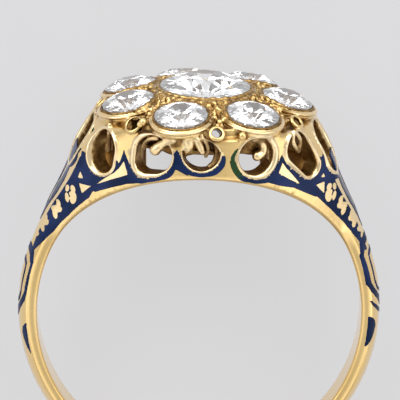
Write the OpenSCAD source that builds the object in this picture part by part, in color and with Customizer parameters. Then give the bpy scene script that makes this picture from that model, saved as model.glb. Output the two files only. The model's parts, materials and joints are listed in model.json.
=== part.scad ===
/* [Finger hole and hoop] */
// Radius of the finger hole
hole_r = 8.35; // [7.9:0.05:8.8]
// Half of the hoop's width along the finger
hoop_half = 1.13; // [1:0.01:1.3]
// Height of the hoop's flat side above the finger hole
hoop_side = 0.57; // [0.45:0.01:0.7]
// Height of the hoop's rounded crown above its flat side
hoop_dome = 0.36; // [0.2:0.01:0.5]

/* [Shoulders and gallery wall] */
// Half of the head's width along the finger, at the top of the finger hole
flank_half = 5.36; // [5.2:0.01:5.5]
// Distance from the middle at which the two flanks would meet
flank_reach = 8.9; // [8.7:0.05:9.2]
// Power in the flanks' plan curve
flank_power = 1.3; // [1.2:0.05:1.5]
// Height of the top of the gallery wall above the ring's centre
wall_top = 10.5; // [10.4:0.05:10.6]
// Radius of the gallery wall at its top
wall_top_r = 5.58; // [5.5:0.02:5.7]
// Growth of that radius for each millimetre downwards
wall_flare = 0.62; // [0.5:0.02:0.75]
// Thickness of the gallery wall
wall_t = 0.95; // [0.8:0.05:1.05]
// Height of the ledge inside the head, above the ring's centre
ledge_z = 7.9; // [7.6:0.05:7.95]

/* [Gallery loops] */
// Half of the width of a pierced loop
loop_half = 0.87; // [0.8:0.01:0.92]
// Lowest point of a loop at the sides of the head
loop_low_z = 8; // [7.9:0.05:8.2]
// Rise of a loop's lowest point from the sides to the front
loop_rise = 0.88; // [0.6:0.02:0.95]
// Top of every loop
loop_top_z = 10.4; // [10.2:0.05:10.45]
// Width of the plain gold rim round a loop
loop_rim = 0.22; // [0.18:0.01:0.26]
// Radius of a scroll's wire
scroll_wire = 0.13; // [0.1:0.01:0.16]
// Radius of the ball that ends a scroll
scroll_ball = 0.2; // [0.15:0.01:0.24]

/* [Crown and stones] */
// Girdle radius of the centre stone
centre_r = 2.33; // [2.2:0.01:2.4]
// Height of the centre stone's girdle above the ring's centre
centre_z = 11.74; // [11.6:0.01:11.9]
// Girdle radius of each outer stone
outer_r = 1.356; // [1.3:0.002:1.4]
// Number of outer stones
outer_count = 7; // [7:1:7]
// Distance of the outer stones from the head's middle
outer_ring_r = 4.19; // [4.1:0.01:4.3]
// Height of the outer stones' girdles above the ring's centre
outer_z = 11.29; // [11.2:0.01:11.4]
// Outward lean of the outer stones, in degrees
outer_lean = 13.8; // [10:0.2:16]
// Plan angle of the first outer stone, from the front towards the right
outer_first = -17.4; // [-20:0.2:-15]
// Radius of each scalloped lobe
lobe_r = 1.7; // [1.65:0.01:1.72]
// Thickness of each lobe at its rim
lobe_t = 0.5; // [0.45:0.01:0.6]
// Outer radius of the eyelet between two lobes
eyelet_r = 0.4; // [0.35:0.01:0.45]
// Radius of the eyelet's hole
eyelet_hole = 0.21; // [0.18:0.01:0.24]

/* [Enamel] */
// Depth of the cells that hold the enamel
cell_depth = 0.16; // [0.12:0.01:0.2]
// Width of the enamel band that follows a loop's rim
band_w = 0.24; // [0.18:0.01:0.3]
// Gap between the enamel and the walls of its cell
enamel_gap = 0.015; // [0.01:0.005:0.02]
// Turn of the enamel's design towards the wearer's left, in degrees
design_turn = 2; // [0:0.5:3]

/* [Hidden] */
$fn = 64;
outer_names = ["outer_diamond_1", "outer_diamond_2", "outer_diamond_3", "outer_diamond_4",
               "outer_diamond_5", "outer_diamond_6", "outer_diamond_7"];

gold = "#e6c882";
navy = "#1b2a63";
diamond = "#f2f4f8";

// The ring's own frame has its origin on the finger hole's axis, which runs along Y. The head is up,
// the flank that the wearer's eye meets is at -Y, and plan angles run from there towards +X.
hoop_edge_r = hole_r + hoop_side;
hoop_outer_r = hoop_edge_r + hoop_dome;
past = 1;

// Cut of every stone, as shares of its girdle radius
table_r = 0.46;
crown_h = 0.27;
pavilion_h = 0.86;

// Angle at which the ring lies on the head's back edge and the hoop's back edge
lie_angle = atan((flank_half - hoop_half) / (hole_r + hoop_edge_r));
lie_height = flank_half * cos(lie_angle) - hole_r * sin(lie_angle);

// How far the head and the hoop then reach, which sets the middle of the ring's box
head_reach = (centre_z + crown_h * centre_r) * cos(lie_angle) + table_r * centre_r * sin(lie_angle);
hoop_reach = hoop_outer_r * cos(lie_angle)
    + pow(hoop_half * sin(lie_angle), 2) / (4 * hoop_dome * cos(lie_angle));
lie_shift = (head_reach - hoop_reach) / 2;

// Half of the head's outline seen along the finger, from the crown down to the hoop: [x, z]
SIDE_OUTLINE = [[5.78, 10.5], [6.25, 9.5], [6.58, 8.6], [6.95, 7.4], [7.3, 6.6], [7.73, 5.7],
                [8.2, 4.65], [8.6, 3.6], [8.95, 2.4]];

// Plan angle of each gallery loop, as set out by hand on the real ring
LOOP_ANGLES = [-84, -57.5, -30, -3, 26.5, 53.5, 79, 104, 129, 154, 179, 204, 229, 252];

// Turn of each outer stone from its even place, as set by hand on the real ring, in degrees
OUTER_TURNS = [0, 0, 0, 8, 7, 5, 0];

// One scroll for each loop: [centre's offset along the wall, radius, start angle, swept angle]
SCROLLS = [[0.05, 0.38, 110, -210], [0.35, 0.38, 90, 110], [0.45, 0.4, 90, 115], [0.1, 0.4, 105, -165],
           [0.05, 0.4, 115, -215], [0.05, 0.36, 110, -190], [0.3, 0.38, 90, 110], [0.05, 0.38, 110, -210],
           [0.35, 0.38, 90, 110], [0.05, 0.4, 115, -215], [0.45, 0.4, 90, 115], [0.1, 0.4, 105, -165],
           [0.05, 0.36, 110, -190], [0.3, 0.38, 90, 110]];
scroll_z = loop_top_z - 0.42;

// Gold trefoils left standing in the shoulders' enamel: [angle from the top, radius, half height]
TREFOILS = [[44.4, 9.46, 0.5], [51, 9.34, 0.5], [57.3, 9.36, 0.46], [62.2, 9.4, 0.36]];

// Right halves of the shapes in the enamel of the outer faces, from the bottom up: [y, z]
FACE_PANEL = [[0, 3.9], [0.42, 4.3], [0.7, 5], [1.25, 6.2], [1.5, 7.2], [1.2, 7.9], [0, 8.3]];
FACE_BARS = [[0, 0.1], [0.78, 1.1], [0.84, 2.3], [0.66, 3.3], [0, 3.7]];
FACE_GOLD = [[0, 0.8], [0.42, 1.3], [0.46, 2.3], [0.34, 3], [0, 3.3]];
FACE_LEAF = [[0, -2.6], [0.42, -1.5], [0, -0.75]];

function flank_at(x) = flank_half * pow(max(0, 1 - pow(x / flank_reach, 2)), flank_power);
function loop_centre_z(angle) = loop_low_z + loop_rise * pow(cos(angle), 4) + loop_half;
function polar(radius, angle) = [radius * sin(angle), radius * cos(angle)];
function lobe_angle(i) = outer_first + i * 360 / outer_count + OUTER_TURNS[i % outer_count];
function gap_angle(i) = (lobe_angle(i) + lobe_angle(i + 1)) / 2;

// Turns a child that is drawn on the head's front centre to a plan angle
module at_plan_angle(angle) {
    rotate([0, 0, angle]) children();
}

// Stands a flat [x, z] shape up and runs it along Y, from one depth to another
module along_finger(from_y, to_y) {
    translate([0, to_y, 0]) rotate([90, 0, 0]) linear_extrude(to_y - from_y) children();
}

// Stands a flat [y, z] shape up and runs it along X, from one distance to another
module along_width(from_x, to_x) {
    translate([from_x, 0, 0]) rotate([90, 0, 90]) linear_extrude(to_x - from_x) children();
}

// Lays the ring down as it rests by itself
module lay_down() {
    translate([0, lie_shift, lie_height]) rotate([lie_angle - 90, 0, 180]) children();
}

module side_outline(inset) {
    right = [for (p = SIDE_OUTLINE) [p[0] - inset, p[1]]];
    left = [for (i = [len(right) - 1:-1:0]) [-right[i][0], right[i][1]]];
    polygon(concat(right, [[7, 0], [-7, 0]], left));
}

module flank_plan(inset) {
    steps = 26;
    front = [for (i = [0:steps]) let (x = flank_reach * sin(-90 + 180 * i / steps))
             [x, -max(0.02, flank_at(x) - inset)]];
    back = [for (i = [steps:-1:0]) [front[i][0], -front[i][1]]];
    polygon(concat(front, back));
}

module hoop(inset) {
    steps = 8;
    crown = [for (i = [0:steps]) let (t = 1 - 2 * i / steps)
             [hoop_edge_r - inset + hoop_dome * (1 - t * t), t * (hoop_half - inset)]];
    rotate([90, 0, 0]) rotate_extrude($fn = 128)
        polygon(concat([[hole_r - 0.3, -hoop_half + inset], [hole_r - 0.3, hoop_half - inset]], crown));
}

// Shoulders and gallery wall as one block
module head_form(inset) {
    drop = 9;
    intersection() {
        along_finger(-flank_half - past, flank_half + past) side_outline(inset);
        linear_extrude(wall_top) flank_plan(inset);
        translate([0, 0, wall_top - drop])
            cylinder(r1 = wall_top_r - inset + drop * wall_flare, r2 = wall_top_r - inset, h = drop);
    }
}

// The whole outer form, before anything is cut from it
module outer_form(inset) {
    head_form(inset);
    hoop(inset);
}

// The hollow behind the gallery wall, open to the finger hole in the middle of its floor
module head_hollow() {
    reach = 8;
    difference() {
        union() {
            head_form(wall_t);
            translate([0, 0, wall_top - past]) cylinder(r = wall_top_r - wall_t, h = 2 * past);
        }
        translate([-reach, -reach, 0]) cube([2 * reach, 2 * reach, ledge_z]);
    }
}

module finger_hole() {
    rotate([90, 0, 0]) cylinder(r = hole_r, h = 2 * (flank_half + past), center = true, $fn = 128);
}

// A loop's pierced shape, grown by a margin, on the front centre of the wall
module loop_shape(angle, margin) {
    half = loop_half + margin;
    centre_z = loop_centre_z(angle);
    intersection() {
        union() {
            translate([0, centre_z]) circle(half);
            translate([-half, centre_z]) square(2 * half);
        }
        translate([-half, loop_top_z - 2 * half - 3]) square([2 * half, 2 * half + 3]);
    }
}

module loop_cutters() {
    for (angle = LOOP_ANGLES)
        at_plan_angle(angle) along_finger(-9, -3) loop_shape(angle, 0);
}

// A curled wire that hangs from the top of a loop and ends in a ball
module scroll(place) {
    end = place[2] + place[3];
    translate([place[0], -5.05, scroll_z]) rotate([90, 0, 0]) {
        rotate([0, 0, place[2]])
            rotate_extrude(angle = place[3]) translate([place[1], 0]) circle(scroll_wire, $fn = 16);
        translate([place[1] * cos(end), place[1] * sin(end), 0]) sphere(scroll_ball, $fn = 20);
    }
}

module scrolls() {
    for (i = [0:len(LOOP_ANGLES) - 1])
        at_plan_angle(LOOP_ANGLES[i]) scroll(SCROLLS[i]);
}

// Puts a child that is drawn round Z at its own girdle height onto an outer stone's place
module at_outer_stone(i) {
    at_plan_angle(lobe_angle(i)) translate([0, -outer_ring_r, outer_z]) rotate([outer_lean, 0, 0])
        children();
}

module crown() {
    plate_z = wall_top;
    plate_r = 5.05;
    collar_r = centre_r + 0.24;
    translate([0, 0, plate_z]) cylinder(r = plate_r, h = 0.45);
    translate([0, 0, plate_z]) cylinder(r = 3.6, h = 0.8);
    translate([0, 0, plate_z + 0.6]) cylinder(r1 = 3.25, r2 = collar_r, h = centre_z + 0.02 - plate_z - 0.6);
    for (i = [0:outer_count - 1])
        at_outer_stone(i) translate([0, 0, 0.02 - lobe_t]) cylinder(r = lobe_r, h = lobe_t);
}

module seat(stone_r) {
    ledge = 0.12;
    depth = 0.95 * stone_r;
    overlap = 0.01;
    translate([0, 0, -ledge - overlap]) cylinder(r = stone_r + 0.02, h = ledge + overlap + 1);
    translate([0, 0, -ledge - depth]) cylinder(r1 = stone_r * 0.12, r2 = stone_r + 0.02, h = depth);
}

module eyelet_place(i) {
    at_plan_angle(gap_angle(i)) translate([0, -5.1, 10.84]) rotate([65, 0, 0])
        children();
}

module eyelets() {
    for (i = [0:outer_count - 1])
        eyelet_place(i) translate([0, 0, -0.5]) cylinder(r = eyelet_r, h = 0.62, $fn = 24);
}

module eyelet_holes() {
    for (i = [0:outer_count - 1])
        eyelet_place(i) cylinder(r = eyelet_hole, h = 4, center = true, $fn = 24);
}

// The enamel's design. Each shape takes a slack: 0 for the cell, and the gap for the enamel in it.

module loop_band(angle, slack) {
    outer = loop_half + loop_rim + band_w - slack;
    difference() {
        translate([0, loop_centre_z(angle)]) circle(outer);
        translate([-outer, loop_centre_z(angle) - slack]) square(2 * outer);
    }
}

module land_peak(angle, slack) {
    foot_z = loop_centre_z(angle) - 0.3;
    half = 0.5 - slack;
    polygon([[-half, foot_z + slack], [half, foot_z + slack], [0, 9.95 - 2 * slack]]);
}

module trefoil(place, side, slack) {
    at = polar(place[1], side * (place[0] - side * design_turn));
    tall = place[2] + slack;
    wide = 0.27 + slack;
    translate(at) {
        polygon([[0, tall], [wide * 0.6, tall * 0.6], [wide * 0.35, tall * 0.2], [wide, -tall * 0.25],
                 [wide * 0.5, -tall], [0, -tall * 0.7], [-wide * 0.5, -tall], [-wide, -tall * 0.25],
                 [-wide * 0.35, tall * 0.2], [-wide * 0.6, tall * 0.6]]);
    }
}

// The shoulder's enamel field in front view, between the gold border and the ridge
module shoulder_field(side, slack) {
    border = hole_r + 0.56 + slack;
    steps = 6;
    first = 38 + 25 * slack - side * design_turn;
    span = 27.6 - 50 * slack;
    lower = [for (i = [0:steps]) polar(border, first + span * i / steps)];
    upper = [[8.28, 4.2], [7.78, 5.2], [7.3, 6.1], [6.9, 7], [6.62, 7.7], [6.42, 8.3]];
    mirror([side < 0 ? 1 : 0, 0])
        polygon(concat(lower, [for (p = upper) [p[0] - slack, p[1] - slack]]));
}

// The band along the finger hole that joins the loops' enamel to the shoulder
module lower_band(side, slack) {
    inner = hole_r + 0.42 + slack;
    outer = hole_r + 0.6 - slack;
    steps = 6;
    span = 26;
    low = [for (i = [0:steps]) polar(inner + 0.14 * i / steps, side * (16 + span * i / steps))];
    high = [for (i = [steps:-1:0]) polar(outer + 0.2 * i / steps, side * (16 + span * i / steps))];
    polygon(concat(low, high));
}

// The whole of a shape that is given by its right half, drawn in by a margin
module even_shape(half_shape, margin) {
    last = len(half_shape) - 1;
    middle = (half_shape[0][1] + half_shape[last][1]) / 2;
    right = [for (p = half_shape)
             [p[0] > 0 ? p[0] - margin : 0, p[1] + (p[1] < middle ? 2 * margin : -2 * margin)]];
    polygon(concat(right, [for (i = [last - 1:-1:1]) [-right[i][0], right[i][1]]]));
}

// One flank's design: face is 1 for the front and -1 for the back
module flank_design(face, slack) {
    reach = 7;
    first = face > 0 ? 1 : 8;
    difference() {
        union() {
            for (angle = LOOP_ANGLES) {
                if (face * cos(angle) > 0.1)
                    at_plan_angle(angle) along_finger(-reach, -4.6) loop_band(angle, slack);
            }
            for (i = [first:first + 3]) {
                middle = (LOOP_ANGLES[i] + LOOP_ANGLES[i + 1]) / 2;
                at_plan_angle(middle) along_finger(-reach, -4.6) land_peak(middle, slack);
            }
            for (side = [-1, 1]) {
                along_finger(min(0, -face * reach), max(0, -face * reach)) {
                    lower_band(side, slack);
                    shoulder_field(side, slack);
                }
            }
        }
        for (angle = LOOP_ANGLES)
            at_plan_angle(angle) along_finger(-reach - past, -3) loop_shape(angle, loop_rim + slack);
        for (side = [-1, 1], place = TREFOILS)
            along_finger(-reach - past, reach + past) trefoil(place, side, slack);
        along_width(-12, 12) even_shape(FACE_PANEL, -0.12 - slack);
    }
}

// Outer faces: a leaf-shaped panel on the shoulder, a pair of bars, and a small leaf on the hoop
module outer_face_design(slack) {
    difference() {
        for (shape = [FACE_PANEL, FACE_BARS, FACE_LEAF])
            even_shape(shape, slack);
        even_shape(FACE_GOLD, -slack);
    }
}

module skin(depth) {
    difference() {
        outer_form(0);
        outer_form(depth);
        rotate([90, 0, 0]) cylinder(r = hoop_edge_r - 0.1, h = 2 * (flank_half + past), center = true);
        translate([0, 0, wall_top]) cylinder(r = wall_top_r + past, h = past, center = true);
    }
}

module flank_enamel_shape(face, depth, slack) {
    intersection() {
        skin(depth);
        flank_design(face, slack);
    }
}

module side_enamel_shape(side, depth, slack) {
    intersection() {
        skin(depth);
        mirror([side < 0 ? 1 : 0, 0, 0]) along_width(4.5, 12) outer_face_design(slack);
    }
}

module ring_mount() {
    color(gold) lay_down() {
        difference() {
            union() {
                difference() {
                    outer_form(0);
                    head_hollow();
                    loop_cutters();
                    flank_enamel_shape(1, cell_depth, 0);
                    flank_enamel_shape(-1, cell_depth, 0);
                    side_enamel_shape(-1, cell_depth, 0);
                    side_enamel_shape(1, cell_depth, 0);
                }
                scrolls();
                crown();
                eyelets();
            }
            finger_hole();
            eyelet_holes();
            translate([0, 0, centre_z]) seat(centre_r);
            for (i = [0:outer_count - 1])
                at_outer_stone(i) seat(outer_r);
        }
    }
}

// An old European cut: octagonal table, kites, stars, a 16-sided girdle and a small culet
module old_cut(stone_r) {
    star_r = 0.76;
    lower_r = 0.3;
    culet_r = 0.07;
    girdle_h = 0.03;
    function corner(radius, angle, height) = [radius * cos(angle), radius * sin(angle), height];
    star_z = crown_h + (girdle_h - crown_h) * (star_r * cos(22.5) - table_r) / (1 - table_r);
    lower_z = -pavilion_h + (pavilion_h - girdle_h) * (lower_r * cos(22.5) - culet_r) / (1 - culet_r);
    points = concat(
        [for (k = [0:7]) corner(table_r, 45 * k, crown_h)],
        [for (k = [0:7]) corner(star_r, 45 * k + 22.5, star_z)],
        [for (k = [0:15]) corner(1, 22.5 * k, girdle_h)],
        [for (k = [0:15]) corner(1, 22.5 * k, -girdle_h)],
        [for (k = [0:7]) corner(lower_r, 45 * k + 22.5, lower_z)],
        [for (k = [0:7]) corner(culet_r, 45 * k, -pavilion_h)]);
    star = 8;
    girdle = 16;
    under = 32;
    lower = 48;
    culet = 56;
    faces = concat(
        [[for (k = [7:-1:0]) k]],
        [for (k = [0:7]) [k, (k + 1) % 8, star + k]],
        [for (k = [0:7]) [k, star + k, girdle + 2 * k, star + (k + 7) % 8]],
        [for (k = [0:7]) [star + k, girdle + (2 * k + 1) % 16, girdle + 2 * k]],
        [for (k = [0:7]) [star + k, girdle + (2 * k + 2) % 16, girdle + 2 * k + 1]],
        [for (k = [0:15]) [girdle + k, girdle + (k + 1) % 16, under + (k + 1) % 16, under + k]],
        [for (k = [0:7]) [under + 2 * k, under + 2 * k + 1, lower + k]],
        [for (k = [0:7]) [under + 2 * k + 1, under + (2 * k + 2) % 16, lower + k]],
        [for (k = [0:7]) [under + 2 * k, lower + k, culet + k, lower + (k + 7) % 8]],
        [for (k = [0:7]) [lower + k, culet + (k + 1) % 8, culet + k]],
        [[for (k = [0:7]) culet + k]]);
    scale(stone_r) polyhedron(points, faces);
}

module centre_diamond() {
    color(diamond) lay_down() translate([0, 0, centre_z]) rotate([0, 0, 2]) old_cut(centre_r);
}

module outer_diamond(i) {
    color(diamond) lay_down() at_outer_stone(i) rotate([0, 0, 37 * i]) old_cut(outer_r);
}

module enamel_front() {
    color(navy) lay_down() flank_enamel_shape(1, cell_depth - enamel_gap, enamel_gap);
}

module enamel_back() {
    color(navy) lay_down() flank_enamel_shape(-1, cell_depth - enamel_gap, enamel_gap);
}

module enamel_left() {
    color(navy) lay_down() side_enamel_shape(-1, cell_depth - enamel_gap, enamel_gap);
}

module enamel_right() {
    color(navy) lay_down() side_enamel_shape(1, cell_depth - enamel_gap, enamel_gap);
}

ring_mount();
centre_diamond();
for (i = [0:outer_count - 1])
    outer_diamond(i);
enamel_front();
enamel_back();
enamel_left();
enamel_right();
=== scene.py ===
"""Blender scene for the enamel diamond ring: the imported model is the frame, and the gold and the
enamel are finer pieces that stand for their CAD nodes."""
import json
import math
from collections import namedtuple

import bpy
import numpy as np
import openvdb
from mathutils import Matrix, Vector

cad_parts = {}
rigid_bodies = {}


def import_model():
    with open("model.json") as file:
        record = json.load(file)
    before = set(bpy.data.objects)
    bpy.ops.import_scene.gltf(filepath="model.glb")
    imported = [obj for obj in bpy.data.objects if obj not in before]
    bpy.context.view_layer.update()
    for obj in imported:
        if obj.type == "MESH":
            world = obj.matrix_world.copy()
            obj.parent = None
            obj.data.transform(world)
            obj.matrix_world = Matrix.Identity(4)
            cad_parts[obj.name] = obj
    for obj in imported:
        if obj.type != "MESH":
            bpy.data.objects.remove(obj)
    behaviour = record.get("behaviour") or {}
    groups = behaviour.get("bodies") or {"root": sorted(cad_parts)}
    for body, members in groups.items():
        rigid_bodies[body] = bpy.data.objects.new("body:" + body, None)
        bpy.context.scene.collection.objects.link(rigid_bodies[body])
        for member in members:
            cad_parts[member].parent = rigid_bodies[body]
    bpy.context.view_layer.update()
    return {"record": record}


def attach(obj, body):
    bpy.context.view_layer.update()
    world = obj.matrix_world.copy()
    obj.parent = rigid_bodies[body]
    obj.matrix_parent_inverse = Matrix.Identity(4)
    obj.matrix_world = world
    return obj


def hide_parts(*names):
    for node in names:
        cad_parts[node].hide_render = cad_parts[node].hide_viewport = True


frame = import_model()

# The ring's own frame, in millimetres: origin on the finger hole's axis, which runs along Y, with the
# head up (Z) and the front flank at -Y. The main sizes follow part.scad to 0.15 mm. Only the eyelets stand
# up to 0.2 mm further out, and the loops have shapes of their own, turned by up to 2 degrees.
hole = next(m for m in frame["record"]["mounts"] if m["name"] == "finger_hole")
TILT_S = hole["axis"][1]
TILT_C = hole["axis"][2]
SHIFT_MM = hole["pos_m"][1] * 1000
HEIGHT_MM = hole["pos_m"][2] * 1000
TO_WORLD = np.array([[-1, 0, 0], [0, -TILT_S, -TILT_C], [0, -TILT_C, TILT_S]])

HOLE_R = 8.35
# The hoop: half its width, radius of its edges, and height of its crest above them
HOOP_HALF = 1.13
HOOP_EDGE_R = 8.84
HOOP_DOME = 0.5
# The flanks: half the head's depth at its middle, how far out they would meet, and how they curve
FLANK_HALF = 5.36
FLANK_REACH = 8.9
FLANK_POWER = 1.3
# The gallery's wall: its top, how it flares downwards, its thickness, and the ledge inside it
WALL_TOP = 10.5
WALL_TOP_R = 5.58
WALL_FLARE = 0.62
WALL_T = 0.95
LEDGE_Z = 7.9
# The head's outline seen along the finger, as heights with half the width there, and how far the outer
# faces swell out beyond it
SIDE_Z = np.array([0, 2.4, 3.6, 4.65, 5.7, 6.6, 7.4, 8.6, 9.5, 10.5])
SIDE_X = np.array([9.25, 8.95, 8.6, 8.2, 7.73, 7.28, 6.91, 6.5, 6.16, 5.7])
FACE_DOME = 0.14
# Each gallery loop: plan angle, lean of its foot in degrees, height of its lowest point, radius of its foot
# and of its top, height of its top, width of its rim at the left and at the right, and height of the enamel
# beside it there. PLAIN is what the loops at the sides share.
Loop = namedtuple("Loop", "angle lean low foot_r top_r top rim_left rim_right enamel_left enamel_right")
PLAIN = (0.87, 0.87, 10.45, 0.24, 0.24, 9.2, 9.2)
LOOPS = [Loop(*row) for row in (
    (-84, 0, 8.0, *PLAIN),
    (-59.6, 2, 8.07, 0.68, 0.8, 10.2, 0.27, 0.19, 8.85, 8.9),
    (-28.7, -46, 8.52, 0.52, 0.95, 10.45, 0.34, 0.12, 8.9, 9.3),
    (-2.4, 0, 8.88, 0.93, 0.95, 10.45, 0.11, 0.11, 9.3, 9.85),
    (28.2, -33, 8.64, 0.66, 0.92, 10.45, 0.18, 0.36, 10.05, 8.9),
    (54.3, 35, 8.1, 0.5, 0.75, 10.4, 0.28, 0.18, 8.9, 9.0),
    (79, 0, 8.0, *PLAIN),
    (104, 0, 8.0, *PLAIN),
    (129, -14, 8.14, 0.62, 0.87, 10.4, 0.28, 0.3, 8.9, 8.9),
    (154, -10, 8.57, 0.8, 0.9, 10.45, 0.3, 0.14, 8.9, 9.3),
    (179, 0, 8.88, 0.85, 0.9, 10.45, 0.12, 0.12, 9.3, 9.3),
    (204, 10, 8.61, 0.8, 0.9, 10.45, 0.14, 0.3, 9.3, 8.9),
    (229, 14, 8.16, 0.62, 0.87, 10.4, 0.3, 0.28, 8.9, 8.9),
    (252, 0, 8.01, *PLAIN))]
# Middle of a loop, how far it reaches from there, and how near to the ring's middle its opening goes
LOOP_R = 5.6
LOOP_Z = 9.4
LOOP_REACH = 2.6
LOOP_INNER = 3.2
# The low dome on a loop's rim: its height, and the most of the rim's width that this may be
RIM_DOME = 0.08
RIM_DOME_SHARE = 0.28
# The outer stones: girdle radius, number, radius and height of their circle, lean, plan angle of the
# first, and how many degrees each stands past its even place
STONE_R = 1.356
STONE_COUNT = 7
STONE_RING_R = 4.19
STONE_Z = 11.29
STONE_LEAN = math.radians(13.8)
STONE_FIRST = -17.4
STONE_TURNS = (0, 0, 0, 8, 7, 5, 0)
# The centre stone's girdle
CENTRE_R = 2.33
CENTRE_Z = 11.74
# The cone under a stone: its depth as a share of the girdle's radius, and its slope
SEAT_DEPTH = 0.95
SEAT_SLOPE = 0.88 / SEAT_DEPTH
# The lobe round an outer stone, and the wire along its edge, which lies under the girdle's height
LOBE_R = 1.6
LOBE_EDGE_R = 1.59
LOBE_EDGE_Z = -0.15
# The crown's plate, the disc between the stones, and the collar round the centre stone
PLATE_R = 5.08
PLATE_Z = 10.7
PLATE_HALF = 0.25
DISC_R = 4.7
DISC_FOOT = 10.6
COLLAR_Z = [10.4, 11.1, 11.78]
COLLAR_R = [3.25, 3.2, 2.6]
# The web that joins the cups under the stones
WEB_R = 3.5
WEB_HALF = 1.25
WEB_Z = 9.66
WEB_HALF_T = 0.13
# The eyelets between the lobes: radius and height of their circle, lean of their rings, rise of the way
# through them, and radii of hole and ring. The front one is turned a little, and the next one on its left
# is wider.
EYELET_R = 5.3
EYELET_Z = 10.8
EYELET_LEAN = math.radians(44)
EYELET_RISE = math.radians(17)
EYELET_RADII = (0.24, 0.41)
FRONT_EYELET, FRONT_EYELET_TURN = 0, -2.7
WIDE_EYELET, WIDE_EYELET_RADII = 6, (0.36, 0.47)
# Grains between two outer stones: distance out, height, offset across, and radius
GAP_GRAINS = [(2.78, 11.66, 0, 0.17), (3.3, 11.36, 0.12, 0.15), (3.66, 11.24, -0.14, 0.14),
              (4.15, 11.1, 0.05, 0.15), (4.5, 10.98, -0.1, 0.13)]
# Where claws grip an outer stone, in degrees round it from its outward side, and how far from its axis.
# The first is the largest.
CLAW_ANGLES = (150, 180, 212, 118, 242)
CLAW_R = 1.52
# The claws round the centre stone
CENTRE_CLAWS = 8
CENTRE_CLAW_R = 2.47
CENTRE_CLAW_Z = 11.8
# Single grains at the front: middle and radius
LOOSE_GRAINS = [((1.8, -5.03, 10.66), 0.2), ((-3.16, -4.25, 11.05), 0.2), ((-3.3, -4.2, 10.9), 0.17)]
# Blocks wholly below the hollow, the crown or the lips, or above the web, skip it to save time
HOLLOW_FROM = 7.5
CROWN_FROM = 8.9
LIPS_FROM = 10.8
WEB_TO = 10.2
UP = np.array([0, 0, 1])
# Stands for nothing near
FAR = 9.0

rng = np.random.default_rng(7)


def to_world(points):
    moved = points @ TO_WORLD.T + np.array([0, SHIFT_MM, HEIGHT_MM])
    return moved * 0.001


def smin(a, b, k):
    h = np.maximum(k - np.abs(a - b), 0) / k
    return np.minimum(a, b) - h * h * k * 0.25


def smax(a, b, k):
    return -smin(-a, -b, k)


def step(low, high, value):
    t = np.clip((value - low) / (high - low), 0, 1)
    return t * t * (3 - 2 * t)


def apart(x, y, z, point, reach):
    """True if the arrays' box is further from a point than the reach along some axis"""
    return any(a.min() > p + reach or a.max() < p - reach for a, p in zip((x, y, z), point))


def empty(x, y, z):
    """A field with nothing near"""
    return np.full(np.broadcast_shapes(x.shape, y.shape, z.shape), FAR)


def plan_direction(degrees):
    """The level direction at a plan angle, which is 0 at the front"""
    a = math.radians(degrees)
    return np.array([math.sin(a), -math.cos(a), 0])


def turned(x, y, degrees):
    """Offset across, and distance out, for the direction at a plan angle"""
    a = math.radians(degrees)
    return x * math.cos(a) + y * math.sin(a), x * math.sin(a) - y * math.cos(a)


def smooth_table(xs, ys, count=400):
    """Catmull-Rom through a table's points, as a finer table"""
    xs = np.asarray(xs, float)
    ys = np.asarray(ys, float)
    slope = np.gradient(ys, xs)
    fine = np.linspace(xs[0], xs[-1], count)
    i = np.clip(np.searchsorted(xs, fine) - 1, 0, len(xs) - 2)
    w = xs[i + 1] - xs[i]
    t = (fine - xs[i]) / w
    h00 = 2 * t**3 - 3 * t**2 + 1
    h10 = t**3 - 2 * t**2 + t
    return fine, h00 * ys[i] + h10 * w * slope[i] + (1 - h00) * ys[i + 1] + (t**3 - t**2) * w * slope[i + 1]


SIDE_TABLE = smooth_table(SIDE_Z, SIDE_X)


def flank_at(x):
    """Half of the head's depth"""
    return FLANK_HALF * np.maximum(0, 1 - (x / FLANK_REACH) ** 2) ** FLANK_POWER


def face_dome(y, z):
    """How far the outer face swells out at its middle"""
    half = np.maximum(flank_at(np.interp(z, *SIDE_TABLE)), 0.3)
    return FACE_DOME * np.maximum(0, 1 - (y / half) ** 2) * step(3.6, 6, z)


def hoop(x, y, z):
    t = np.abs(y) / HOOP_HALF
    r = np.sqrt(x * x + z * z)
    dome = (r - HOOP_EDGE_R - HOOP_DOME * (1 - t * t)) / np.sqrt(1 + (2 * HOOP_DOME * t / HOOP_HALF) ** 2)
    return smax(dome, np.abs(y) - HOOP_HALF, 0.18)


def head_walls(x, y, z):
    """Distances to the outer faces, the flanks and the round wall under the crown"""
    side = (np.abs(x) - np.interp(z, *SIDE_TABLE) - face_dome(y, z)) * 0.94
    inner = np.maximum(1e-3, 1 - (x / FLANK_REACH) ** 2)
    slope = FLANK_HALF * FLANK_POWER * inner ** (FLANK_POWER - 1) * 2 * x / FLANK_REACH**2
    flank = (np.abs(y) - flank_at(x)) / np.sqrt(1 + slope * slope)
    cone = (np.sqrt(x * x + y * y) - WALL_TOP_R - WALL_FLARE * (WALL_TOP - z)) / math.hypot(1, WALL_FLARE)
    return side, flank, cone


def outer_form(x, y, z):
    """The ring's outer surface, before anything is cut out of it"""
    side, flank, cone = head_walls(x, y, z)
    head = smax(smax(flank, cone, 0.3), side, 0.2)
    head = smax(smax(head, z - WALL_TOP, 0.2), 1 - z, 0.5)
    return smin(hoop(x, y, z), head, 0.3)


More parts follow.
